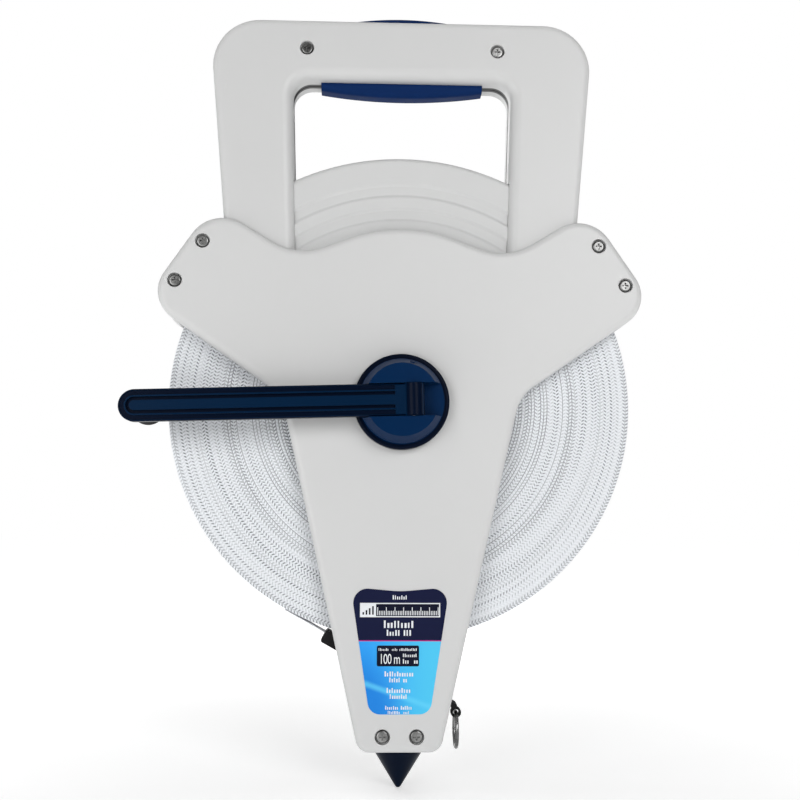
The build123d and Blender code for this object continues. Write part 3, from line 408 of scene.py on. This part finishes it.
tape_edge, tree, shader = finish_named("tape_edges", Specular_IOR_Level=0.3)
place = place_of(tree)
parts = put(tree, "ShaderNodeSeparateXYZ", Vector=put(
    tree, "ShaderNodeMapping", Vector=place, Location=(0.0, 0.0, -axis.z)).outputs[0])
across, upward = parts.outputs[0], parts.outputs[2]
from_axis = calc(tree, "SQRT", calc(tree, "ADD", calc(tree, "MULTIPLY", across, across),
                                    calc(tree, "MULTIPLY", upward, upward)))
angle = calc(tree, "ARCTAN2", upward, across)
bunch_pitch = (TAPE_OUTER - TAPE_INNER) / BUNCHES
bunch_at = calc(tree, "DIVIDE", calc(tree, "SUBTRACT", from_axis, TAPE_INNER), bunch_pitch)
bunch_no = calc(tree, "FLOOR", bunch_at)
in_bunch = calc(tree, "SUBTRACT", bunch_at, bunch_no)
middle = calc(tree, "MULTIPLY_ADD", calc(tree, "ADD", bunch_no, 0.5), bunch_pitch, TAPE_INNER)
yarn_count = calc(tree, "ROUND", calc(tree, "MULTIPLY", middle, 2 * pi / YARN_PITCH))
own = put(tree, "ShaderNodeTexWhiteNoise", noise_dimensions="1D", W=calc(tree, "ADD", bunch_no, 0.37))
lean = calc(tree, "SUBTRACT", calc(tree, "MULTIPLY", calc(tree, "MODULO", bunch_no, 2.0), 2.0), 1.0)
slant = calc(tree, "MULTIPLY", calc(tree, "MULTIPLY", calc(tree, "SUBTRACT", in_bunch, 0.5), lean), 0.55)
along = calc(tree, "MULTIPLY", calc(tree, "DIVIDE", angle, 2 * pi), yarn_count)
along = calc(tree, "ADD", calc(tree, "ADD", along, slant), own.outputs["Value"])
in_yarn = calc(tree, "ABSOLUTE", calc(tree, "SUBTRACT", calc(tree, "FRACT", along), 0.5))
dash = spread(tree, in_yarn, 0.13, 0.29, 1.0, 0.0)
dash = calc(tree, "MULTIPLY", dash, spread(tree, calc(tree, "ABSOLUTE", calc(
    tree, "SUBTRACT", in_bunch, 0.5)), 0.25, 0.48, 1.0, 0.0))
fade = noise(tree, put(tree, "ShaderNodeCombineXYZ", X=calc(tree, "MULTIPLY", angle, 0.8), Y=calc(
    tree, "MULTIPLY", bunch_at, 0.34)).outputs[0], 1.0, 2.0)
strength = calc(tree, "MULTIPLY", spread(tree, fade, 0.32, 0.62, 0.40, 1.0),
                calc(tree, "MULTIPLY_ADD", own.outputs["Value"], 0.75, 0.32))
# painted shade: the gaps between some bunches are darkened, more so near the drum, standing in for the shadow
# in them
gap = spread(tree, calc(tree, "ABSOLUTE", calc(tree, "SUBTRACT", in_bunch, 0.5)), 0.34, 0.48, 0.0, 1.0)
second = put(tree, "ShaderNodeTexWhiteNoise", noise_dimensions="1D", W=calc(
    tree, "ADD", calc(tree, "ROUND", bunch_at), 11.7)).outputs["Value"]
inner_gap_shade = spread(tree, from_axis, TAPE_INNER + 0.008, TAPE_INNER + 0.030, 0.45, 0.0)
round_at = put(tree, "ShaderNodeCombineXYZ", X=calc(tree, "MULTIPLY", angle, 1.1), Y=calc(
    tree, "MULTIPLY", bunch_no, 3.7))
fading = spread(tree, noise(tree, round_at.outputs[0], 1.0, 1.0), 0.35, 0.6, 0.45, 1.0)
opened = spread(tree, calc(tree, "ADD", second, inner_gap_shade), 0.45, 0.70, 0.14, 1.0)
gap_shade = calc(tree, "MULTIPLY", opened, fading)
tint = mixed(tree, calc(tree, "MULTIPLY", dash, strength), TAPE_WHITE, TAPE_GREY)
tint = mixed(tree, calc(tree, "MULTIPLY", gap, gap_shade), tint, TAPE_GAP_SHADE)
tree.links.new(tint, shader.inputs["Base Color"])
tree.links.new(calc(tree, "MULTIPLY_ADD", fade, 0.15, 0.5), shader.inputs["Roughness"])
turns = calc(tree, "SINE", calc(tree, "MULTIPLY", from_axis, 2 * pi / TURN_PITCH))
relief = calc(tree, "ADD", calc(tree, "MULTIPLY", dash, -0.7), calc(tree, "MULTIPLY", turns, 0.12))
bump = put(tree, "ShaderNodeBump", Height=relief, Strength=0.5, Distance=0.00015)
tree.links.new(bump.outputs[0], shader.inputs["Normal"])

skin = put(winding, "GeometryNodeSetMaterial", Geometry=realised.outputs[0], Material=tape_edge)
winding.links.new(skin.outputs[0], result.inputs[0])


def grown(name, tree, inputs, body):
    """Runs a Geometry Nodes tree on an empty mesh and gives the result as one plain piece on a body."""
    carrier = bpy.data.objects.new(name + "_maker", bpy.data.meshes.new(name + "_maker"))
    bpy.context.scene.collection.objects.link(carrier)
    modifier = carrier.modifiers.new(name, "NODES")
    modifier.node_group = tree
    for identifier, value in inputs.values():
        modifier[identifier] = value
    evaluated = carrier.evaluated_get(bpy.context.evaluated_depsgraph_get())
    mesh = bpy.data.meshes.new_from_object(evaluated)
    bpy.data.objects.remove(carrier)
    mesh.name = name
    piece = bpy.data.objects.new(name, mesh)
    bpy.context.scene.collection.objects.link(piece)
    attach(piece, body)
    return piece


wound_tape = grown("wound_tape", winding, winding_inputs, "reel")
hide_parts("tape_coil")

# ---- Strand of tape through the leg
# The outer end of the same ribbon, lying flat between the guide pins; its faces are smooth white
# coating with a faint weave under it.
COATING = (0.82, 0.83, 0.85)
COATING_SHADE = (0.74, 0.75, 0.77)

strand, tree, shader = finish_named("tape_strand", Specular_IOR_Level=0.4, Roughness=0.45)
place = place_of(tree)
weave = put(tree, "ShaderNodeTexWave", Vector=place, Scale=900.0, Distortion=0.4)
tint = mixed(tree, noise(tree, place, 60.0), COATING_SHADE, COATING)
tree.links.new(tint, shader.inputs["Base Color"])
bump = put(tree, "ShaderNodeBump", Height=weave.outputs[1], Strength=0.15, Distance=0.0001)
tree.links.new(bump.outputs[0], shader.inputs["Normal"])
finish_node(strand, "tape_leader")

# ---- Crank hub, arm and rear cap
# Navy nylon mouldings: the hub turns with the drum and is slotted for the arm, which folds out on a
# steel pin; the rear cap closes the other side over the axle bolt.
NAVY = (0.0010, 0.0180, 0.066)
NAVY_SHADE = (0.0008, 0.0155, 0.058)
HUB_RIM_SHADE = (0.0004, 0.0030, 0.0120)
NAVY_RUB = (0.006, 0.034, 0.074)
NAVY_GLOSS = 0.05
HUB_RIM_RADIUS = 0.0242
BARREL_PROUD = 0.0027
GROOVE_DEPTH = 0.0008
BLEND = 0.0005

hub_navy = moulded_shell("hub_navy", NAVY, NAVY_SHADE, NAVY_RUB, 0.30, 0.0004, NAVY_GLOSS)
tree = hub_navy.node_tree
# painted shade: the hub is darkened outside the rim radius, standing in for the shadow on its outer rim
from_middle = put(tree, "ShaderNodeVectorMath", operation="LENGTH")
tree.links.new(put(tree, "ShaderNodeMapping", Vector=place_of(tree), Location=(0.0, 0.0, -axis.z),
                   Scale=(1.0, 0.0, 1.0)).outputs[0], from_middle.inputs[0])
rim_shade = spread(tree, from_middle.outputs["Value"], HUB_RIM_RADIUS, HUB_RIM_RADIUS + BLEND, 0.0, 1.0)
darkened(hub_navy, rim_shade, HUB_RIM_SHADE)
finish_node(hub_navy, "crank_hub")
cap_navy = moulded_shell("cap_navy", NAVY, NAVY_SHADE, NAVY_RUB, 0.30, 0.0004, NAVY_GLOSS)
finish_node(cap_navy, "rear_cap", "cap_plug")

# painted shade: the arm's panel keeps its colour, while the grooves beside it and the hinge barrel are
# darkened to stand in for the shade in them
arm_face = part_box("crank_arm")[0].y + BARREL_PROUD
ARM_NAVY = (0.0006, 0.0130, 0.041)
ARM_SHADE = (0.0005, 0.0110, 0.036)
ARM_RUB = (0.003, 0.020, 0.050)
ARM_GROOVE_SHADE = (0.0004, 0.0036, 0.0145)
arm_navy = moulded_shell("arm_navy", ARM_NAVY, ARM_SHADE, ARM_RUB, 0.31, 0.0003, NAVY_GLOSS)
tree = arm_navy.node_tree
level = put(tree, "ShaderNodeSeparateXYZ", Vector=place_of(tree)).outputs[1]
groove_shade = spread(tree, level, arm_face + 0.15 * GROOVE_DEPTH, arm_face + GROOVE_DEPTH, 0.0, 1.0)
barrel_shade = spread(tree, level, arm_face - 2 * BLEND, arm_face - BLEND, 1.0, 0.0)
darkened(arm_navy, calc(tree, "MAXIMUM", groove_shade, barrel_shade), ARM_GROOVE_SHADE)
finish_node(arm_navy, "crank_arm")

# ---- Knob, clip and mouth
# Black nylon: the knob turns on a shoulder screw and its rim is polished by fingers; the clip grips
# the tape's end, and the mouth block is held between the plates where the tape enters the leg.
BLACK = (0.013, 0.013, 0.014)
BLACK_SHADE = (0.009, 0.009, 0.010)
BLACK_SCUFF = (0.030, 0.030, 0.031)
BLACK_GLOSS = 0.12
MOUTH_BLACK = (0.010, 0.010, 0.011)
MOUTH_SHADE = (0.007, 0.007, 0.008)
MOUTH_SCUFF = (0.03, 0.03, 0.03)

knob_black = moulded_shell("knob_black", BLACK, BLACK_SHADE, BLACK_SCUFF, 0.55, 0.0005, BLACK_GLOSS)
finish_node(knob_black, "crank_knob", "leader_clip")
mouth_black = moulded_shell("mouth_black", MOUTH_BLACK, MOUTH_SHADE, MOUTH_SCUFF, 0.50, 0.0003, BLACK_GLOSS)
finish_node(mouth_black, "tape_mouth")

# ---- Steel: screws, pins, bolt and end ring
# Zinc-plated steel with a pale crystalline skin in lighter and duller patches. The screws, the bolt and
# the nut pull the pieces together, the pins are pressed in, and the ring hangs from the tape's clip.
STEEL = (0.34, 0.34, 0.335)
STEEL_DULL = (0.17, 0.17, 0.168)
RING_STEEL = (0.30, 0.30, 0.30)
RING_DULL = (0.12, 0.12, 0.12)


def plated_steel(name, colour, dull, roughness):
    """Bare metal with fine crystals and slow changes of tone."""
    material, tree, shader = finish_named(name, Metallic=1.0)
    place = place_of(tree)
    crystal = noise(tree, place, 700.0, 3.0, 0.6)
    cloud = noise(tree, place, 90.0, 2.0)
    tint = mixed(tree, spread(tree, cloud, 0.35, 0.65, 0.0, 1.0), dull, colour)
    tree.links.new(tint, shader.inputs["Base Color"])
    tree.links.new(calc(tree, "MULTIPLY_ADD", crystal, 0.18, roughness), shader.inputs["Roughness"])
    rounded = put(tree, "ShaderNodeBevel", Radius=0.00015, samples=4)
    bump = put(tree, "ShaderNodeBump", Height=crystal, Strength=0.12, Distance=0.0001,
               Normal=rounded.outputs[0])
    tree.links.new(bump.outputs[0], shader.inputs["Normal"])
    return material


zinc = plated_steel("zinc_plate", STEEL, STEEL_DULL, 0.22)
finish_node(zinc, "ear_screws", "foot_screws", "handle_screws", "knob_screw", "crank_pin", "axle_bolt",
            "axle_nut", "mouth_pins")
ring_steel = plated_steel("ring_steel", RING_STEEL, RING_DULL, 0.18)
finish_node(ring_steel, "end_ring")

# ---- Ground spike
# Solid navy nylon point that holds the reel upright in soft ground. Its neck passes up through the
# foot, where the foot's screws cross its block.
SPIKE_NAVY = (0.0008, 0.0045, 0.0150)
SPIKE_SHADE = (0.0006, 0.0035, 0.0120)
SPIKE_RUB = (0.006, 0.018, 0.040)

spike_navy = moulded_shell("spike_navy", SPIKE_NAVY, SPIKE_SHADE, SPIKE_RUB, 0.30, 0.0003, NAVY_GLOSS)
finish_node(spike_navy, "ground_spike")

# ---- Label
# Printed film stuck to the leg: a navy head with a scale strip, a magenta rule, and a light-blue
# fade below with the tape's length in a dark panel. Rows of blocks stand in for the small print.
label_low, label_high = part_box("label")
label_middle = (label_low.x + label_high.x) / 2
LABEL_MARGIN = 0.0005
PRINT_LIFT = 0.00004
RULE_DROP = 0.0288
RULE_HALF = 0.0003
HEAD_INK = (0.0068, 0.0092, 0.036)
HEAD_INK_FADED = (0.0082, 0.0110, 0.042)
RULE_INK = (0.45, 0.03, 0.20)
BLUE_LEFT = (0.034, 0.34, 0.84)
BLUE_RIGHT = (0.078, 0.53, 0.82)
BLUE_LOW = (0.018, 0.215, 0.68)
BLUE_GLEAM = (0.12, 0.60, 0.88)
FILM_WHITE = (0.76, 0.78, 0.79)
FILM_SHADE = (0.70, 0.72, 0.74)
INK_WHITE = (0.78, 0.80, 0.82)
INK_WHITE_FADED = (0.70, 0.72, 0.75)
INK_DARK = (0.0050, 0.0062, 0.017)
INK_DARK_FADED = (0.0065, 0.0080, 0.022)

film, tree, shader = finish_named("label_film", Roughness=0.4, Specular_IOR_Level=0.2)
film_tint = mixed(tree, noise(tree, place_of(tree), 80.0), FILM_SHADE, FILM_WHITE)
tree.links.new(film_tint, shader.inputs["Base Color"])
finish_node(film, "label")

cut = bmesh.new()
cut.from_mesh(nodes["label"].data)
bmesh.ops.remove_doubles(cut, verts=cut.verts, dist=0.000005)
bmesh.ops.delete(cut, geom=[f for f in cut.faces if f.normal.y > -0.9], context="FACES")
rim = bmesh.ops.inset_region(cut, faces=cut.faces[:], thickness=LABEL_MARGIN, use_even_offset=True)
bmesh.ops.delete(cut, geom=rim["faces"], context="FACES")
for vertex in cut.verts:
    vertex.co.y -= PRINT_LIFT
panel_mesh = bpy.data.meshes.new("label_print")
cut.to_mesh(panel_mesh)
cut.free()
label_print = bpy.data.objects.new("label_print", panel_mesh)
bpy.context.scene.collection.objects.link(label_print)

rule_height = label_high.z - RULE_DROP
ink, tree, shader = finish_named("label_inks", Roughness=0.45, Specular_IOR_Level=0.06)
place = place_of(tree)
parts = put(tree, "ShaderNodeSeparateXYZ", Vector=place)
across, upward = parts.outputs[0], parts.outputs[2]
sideways = spread(tree, across, label_low.x + 0.004, label_high.x - 0.006, 0.0, 1.0)
blue = mixed(tree, sideways, BLUE_LEFT, BLUE_RIGHT)
from_corner = put(tree, "ShaderNodeMapping", Vector=place, Scale=(1.0, 0.0, 0.8),
                  Location=(-label_low.x + 0.004, 0.0, -label_low.z + 0.012))
corner = put(tree, "ShaderNodeVectorMath", operation="LENGTH")
tree.links.new(from_corner.outputs[0], corner.inputs[0])
in_corner = spread(tree, corner.outputs["Value"], 0.018, 0.040, 1.0, 0.0)
blue = mixed(tree, in_corner, blue, BLUE_LOW)
wave = calc(tree, "MULTIPLY_ADD", across, 0.35, upward)
swept = calc(tree, "ABSOLUTE", calc(tree, "SUBTRACT", wave, label_low.z + 0.010))
blue = mixed(tree, spread(tree, swept, 0.0, 0.0028, 0.7, 0.0), blue, BLUE_GLEAM)
head = mixed(tree, noise(tree, place, 60.0), HEAD_INK, HEAD_INK_FADED)
tint = mixed(tree, calc(tree, "GREATER_THAN", upward, rule_height), blue, head)
off_rule = calc(tree, "ABSOLUTE", calc(tree, "SUBTRACT", upward, rule_height))
by_rule = calc(tree, "LESS_THAN", off_rule, RULE_HALF)
tree.links.new(mixed(tree, by_rule, tint, RULE_INK), shader.inputs["Base Color"])
film_grain = put(tree, "ShaderNodeBump", Height=noise(tree, place, 1500.0), Strength=0.04, Distance=0.0001)
tree.links.new(film_grain.outputs[0], shader.inputs["Normal"])
panel_mesh.materials.append(ink)
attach(label_print, "frame")


def flat_ink(name, colour, faded):
    """Matt printing ink with slight changes in density."""
    material, tree, shader = finish_named(name, Roughness=0.5, Specular_IOR_Level=0.06)
    tint = mixed(tree, noise(tree, place_of(tree), 400.0), colour, faded)
    tree.links.new(tint, shader.inputs["Base Color"])
    return material


white_ink = flat_ink("white_ink", INK_WHITE, INK_WHITE_FADED)
dark_ink = flat_ink("dark_ink", INK_DARK, INK_DARK_FADED)
marks = bmesh.new()
MM = 0.001


def mark(left, top, width, height, ink_place=0, layer=4, bend=0.0):
    """An inked rectangle with an optional corner radius; millimetres from the label's middle and top."""
    level = label_low.y - PRINT_LIFT * layer
    near, far = left + bend, left + width - bend
    high, low = top + bend, top + height - bend
    outline = []
    for quarter, (x, down) in enumerate(((near, high), (near, low), (far, low), (far, high))):
        for part in range(5 if bend else 1):
            turn = pi / 2 * (1 + quarter + part / 4)
            across_at = label_middle + (x + bend * cos(turn)) * MM
            height_at = label_high.z - (down - bend * sin(turn)) * MM
            outline.append(marks.verts.new((across_at, level, height_at)))
    marks.faces.new(outline).material_index = ink_place


def print_row(middle, top, width, height, seed):
    """A row of blocks with the rhythm of small print, split here and there like words."""
    dice = Random(seed)
    pitch = 0.42 * height + 0.2
    count = round(width / pitch)
    for number in range(count):
        if 2 < number < count - 2 and dice.random() < 0.12:
            continue
        tall = height * (1.0 if number == 0 else dice.choice((0.66, 0.70, 0.95)))
        mark(middle - width / 2 + number * pitch, top + height - tall, pitch * dice.uniform(0.42, 0.62), tall)


BOX_MIDDLE = -1.1
LENGTH_LEFT = -11.6
LENGTH_SIZE = 0.0079
LENGTH_WIDTH = 0.0116
LENGTH_FOOT = 0.0414
STRIP = (-22.5, 7.9, 45.0, 7.9)
mark(*STRIP, 0, 2)
mark(STRIP[0] + 9.0, STRIP[1] + 0.6, STRIP[2] - 9.6, STRIP[3] - 1.2, 1, 3)
for bar in range(4):
    mark(STRIP[0] + 1.4 + 1.8 * bar, STRIP[1] + 5.1 - 1.1 * bar, 0.9, 1.4 + 1.1 * bar, 1, 3)
mark(BOX_MIDDLE - 11.8, 31.4, 23.6, 11.4, 1, 3, 0.9)
for row, (middle, top, width, height) in enumerate((
    (0.0, 3.6, 8.4, 2.4), (0.0, 17.6, 18.1, 4.1), (0.0, 22.7, 14.9, 3.3), (BOX_MIDDLE, 32.8, 21.6, 1.5),
    (5.8, 35.8, 8.2, 1.9), (5.8, 38.8, 8.2, 2.5), (-0.5, 45.5, 16.0, 2.8), (-0.5, 48.9, 10.7, 2.6),
    (-0.5, 54.5, 13.6, 2.8), (-0.5, 58.0, 10.1, 2.5), (-0.5, 64.3, 15.0, 2.1), (-0.5, 67.1, 12.2, 1.6),
)):
    print_row(middle, top, width, height, 40 + row)

length_curve = bpy.data.curves.new("tape_length", "FONT")
length_curve.body = "100 m"
length_curve.size = LENGTH_SIZE
length_curve.space_character = 0.92
length_maker = bpy.data.objects.new("tape_length", length_curve)
bpy.context.scene.collection.objects.link(length_maker)
evaluated = length_maker.evaluated_get(bpy.context.evaluated_depsgraph_get())
length_mesh = bpy.data.meshes.new_from_object(evaluated)
bpy.data.objects.remove(length_maker)
narrowing = LENGTH_WIDTH / max(vertex.co.x for vertex in length_mesh.vertices)
length_start = Vector((label_middle + LENGTH_LEFT * MM, label_low.y - 4 * PRINT_LIFT,
                       label_high.z - LENGTH_FOOT))
for vertex in length_mesh.vertices:
    vertex.co = length_start + Vector((vertex.co.x * narrowing, 0.0, vertex.co.y))
marks.from_mesh(length_mesh)

marks_mesh = bpy.data.meshes.new("label_marks")
marks.to_mesh(marks_mesh)
marks.free()
marks_mesh.materials.append(white_ink)
marks_mesh.materials.append(dark_ink)
label_marks = bpy.data.objects.new("label_marks", marks_mesh)
bpy.context.scene.collection.objects.link(label_marks)
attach(label_marks, "frame")

# the scale strip's ticks: every fifth one is long
ticks = bpy.data.node_groups.new("scale_ticks", "GeometryNodeTree")
face = ticks.interface
tick_inputs = {}
for name, kind, value in (
    ("Count", "NodeSocketInt", 36), ("Pitch", "NodeSocketFloat", 0.00097),
    ("Width", "NodeSocketFloat", 0.00042), ("Short", "NodeSocketFloat", 0.0024),
    ("Long", "NodeSocketFloat", 0.0044),
    ("Start across", "NodeSocketFloat", label_middle + (STRIP[0] + 9.9) * MM),
    ("Level", "NodeSocketFloat", label_low.y - 4 * PRINT_LIFT),
    ("Foot height", "NodeSocketFloat", label_high.z - (STRIP[1] + STRIP[3] - 1.1) * MM),
):
    socket = face.new_socket(name, in_out="INPUT", socket_type=kind)
    tick_inputs[name] = (socket.identifier, value)
face.new_socket("Geometry", in_out="OUTPUT", socket_type="NodeSocketGeometry")
given = ticks.nodes.new("NodeGroupInput").outputs
result = ticks.nodes.new("NodeGroupOutput")
step = put(ticks, "ShaderNodeCombineXYZ", X=given["Pitch"])
places = put(ticks, "GeometryNodeMeshLine", Count=given["Count"], Offset=step.outputs[0])
index = ticks.nodes.new("GeometryNodeInputIndex").outputs[0]
is_long = calc(ticks, "LESS_THAN", calc(ticks, "MODULO", index, 5.0), 0.5)
tall = calc(ticks, "ADD", given["Short"], calc(
    ticks, "MULTIPLY", is_long, calc(ticks, "SUBTRACT", given["Long"], given["Short"])))
one = put(ticks, "GeometryNodeMeshGrid", Size_X=1.0, Size_Y=1.0, Vertices_X=2, Vertices_Y=2)
stood = put(ticks, "GeometryNodeTransform", Geometry=one.outputs["Mesh"], Translation=(0.0, 0.0, 0.5),
            Rotation=(pi / 2, 0.0, 0.0))
size = put(ticks, "ShaderNodeCombineXYZ", X=given["Width"], Y=1.0, Z=tall)
copies = put(ticks, "GeometryNodeInstanceOnPoints", Points=places.outputs[0], Instance=stood.outputs[0],
             Scale=size.outputs[0])
realised = put(ticks, "GeometryNodeRealizeInstances", Geometry=copies.outputs[0])
start = put(ticks, "ShaderNodeCombineXYZ", X=given["Start across"], Y=given["Level"], Z=given["Foot height"])
moved = put(ticks, "GeometryNodeTransform", Geometry=realised.outputs[0], Translation=start.outputs[0])
inked = put(ticks, "GeometryNodeSetMaterial", Geometry=moved.outputs[0], Material=white_ink)
ticks.links.new(inked.outputs[0], result.inputs[0])
label_ticks = grown("label_ticks", ticks, tick_inputs, "frame")
